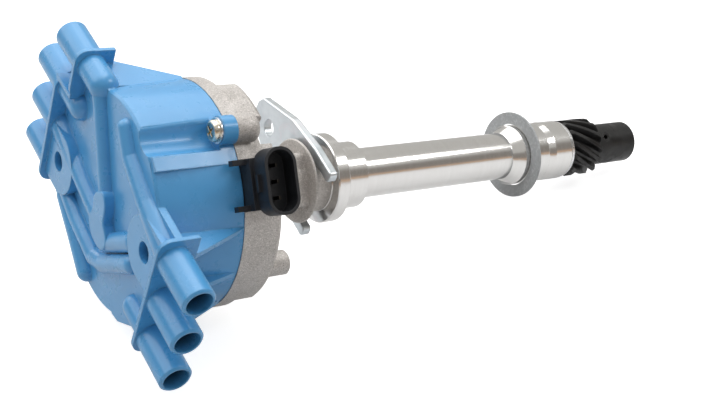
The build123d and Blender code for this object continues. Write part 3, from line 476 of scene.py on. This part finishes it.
def table_paper():
    """White table top: pale paper that keeps the shadow, with a glow that makes it white for the camera and
    dimmer in mirrors, and clear from below."""
    material = bpy.data.materials.new("white table")
    material.use_nodes = True
    tree = material.node_tree
    tree.nodes.remove(tree.nodes["Principled BSDF"])
    w = Wires(tree)
    path = w.add("ShaderNodeLightPath").outputs
    mirrored = w.maths("MAXIMUM", path["Is Glossy Ray"], path["Is Transmission Ray"])
    seen = w.maths("MAXIMUM", path["Is Camera Ray"], mirrored)
    strength = w.plus(w.times(seen, 0.8), w.times(path["Is Glossy Ray"], -0.52))
    paper = w.add("ShaderNodeBsdfDiffuse", None, Color=rgb(0.55, 0.55, 0.55)).outputs[0]
    glow = w.add("ShaderNodeEmission", None, Color=rgb(1, 1, 1), Strength=strength).outputs[0]
    top = w.add("ShaderNodeAddShader", None, _0=paper, _1=glow).outputs[0]
    below = w.add("ShaderNodeNewGeometry").outputs["Backfacing"]
    clear = w.add("ShaderNodeBsdfTransparent").outputs[0]
    choice = w.add("ShaderNodeMixShader", None, _0=below, _1=top, _2=clear).outputs[0]
    w.feed(tree.nodes["Material Output"], "Surface", choice)
    return material


def table_floor():
    """White table just under the lying object."""
    side = Vector((0, 0, 1)) - up * up.z
    side.normalize()
    centre = up * (lowest_height(up) - table_gap)
    floor = flat_grid("table_floor", centre, side, up.cross(side), table_reach, table_points)
    if floor.data.polygons[0].normal.dot(up) < 0:
        floor.data.flip_normals()
    floor.data.materials.append(table_paper())


def studio_world():
    """Surroundings: white for the camera and through glass, an even grey as light, and for mirrors a pale
    studio with a dim room low down on the camera's side and a warm glow along its horizon."""
    world = bpy.data.worlds.new("studio")
    bpy.context.scene.world = world
    world.use_nodes = True
    tree = world.node_tree
    w = Wires(tree)
    white = rgb(1, 1, 1)
    even_light = rgb(0.34, 0.34, 0.34)
    pale_studio = rgb(0.56, 0.55, 0.525)
    dim_room = rgb(0.26, 0.24, 0.22)
    warm_horizon = rgb(0.62, 0.42, 0.28)
    path = w.add("ShaderNodeLightPath").outputs
    toward = w.add("ShaderNodeTexCoord").outputs["Generated"]
    height = w.dot(toward, up)
    near_side = w.span(w.dot(toward, -camera_forward), -0.35, 0.1)
    dim = w.times(w.span(height, 0.52, 0.36), near_side)
    horizon = w.times(w.span(height, 0.13, 0.05), near_side)
    room = w.mix(horizon, w.mix(dim, pale_studio, dim_room), warm_horizon)
    seen = w.maths("MAXIMUM", path["Is Camera Ray"], path["Is Transmission Ray"])
    unseen = w.mix(path["Is Glossy Ray"], even_light, room)
    background = tree.nodes["Background"]
    w.feed(background, "Color", w.mix(seen, unseen, white))
    background.inputs["Strength"].default_value = 1.0


def photo_camera():
    """Camera that sees the object as the photograph shows it."""
    data = bpy.data.cameras.new("photo camera")
    data.sensor_fit = "HORIZONTAL"
    data.sensor_width = sensor_width
    data.lens = camera_lens
    data.clip_start = 0.01
    data.clip_end = 20.0
    camera = bpy.data.objects.new("photo camera", data)
    turn = Matrix((camera_right, -camera_down, -camera_forward)).transposed()
    camera.matrix_world = Matrix.Translation(camera_place) @ turn.to_4x4()
    bpy.context.scene.collection.objects.link(camera)
    bpy.context.scene.camera = camera


def studio_place(rise, turn, distance):
    """Point at a rise above the table and a turn from the camera's side to the picture's right, in degrees."""
    rise = math.radians(rise)
    turn = math.radians(turn)
    flat = toward_camera * math.cos(turn) + across * math.sin(turn)
    return middle + (flat * math.cos(rise) + up * math.sin(rise)) * distance


def area_light(name, place, power, length, width, along=toward_camera):
    """Soft rectangular lamp that faces the object, with its long side as near a direction as it can lie."""
    data = bpy.data.lights.new(name, "AREA")
    data.shape = "RECTANGLE"
    data.size = length
    data.size_y = width
    data.energy = power
    lamp = bpy.data.objects.new(name, data)
    back = (place - middle).normalized()
    side = (along - back * along.dot(back)).normalized()
    turn = Matrix((side, back.cross(side), back)).transposed()
    lamp.matrix_world = Matrix.Translation(place) @ turn.to_4x4()
    bpy.context.scene.collection.objects.link(lamp)


table_floor()
studio_world()
photo_camera()
area_light("key", studio_place(rise=60.0, turn=-123.0, distance=1.1), power=16.5, length=1.8, width=1.8)
area_light("top", studio_place(rise=78.0, turn=160.0, distance=1.1), power=2.6, length=0.8, width=0.8)
# The strip's tilt lets the flats of the cap and the stem both mirror it
strip_tilt = toward_camera * 0.30 - across * 0.12 + up * 0.075
area_light("right strip", studio_place(rise=42.5, turn=86.0, distance=0.9), power=1.9, length=0.46,
           width=0.14, along=strip_tilt)

view = bpy.context.scene.view_settings
view.view_transform = "Standard"
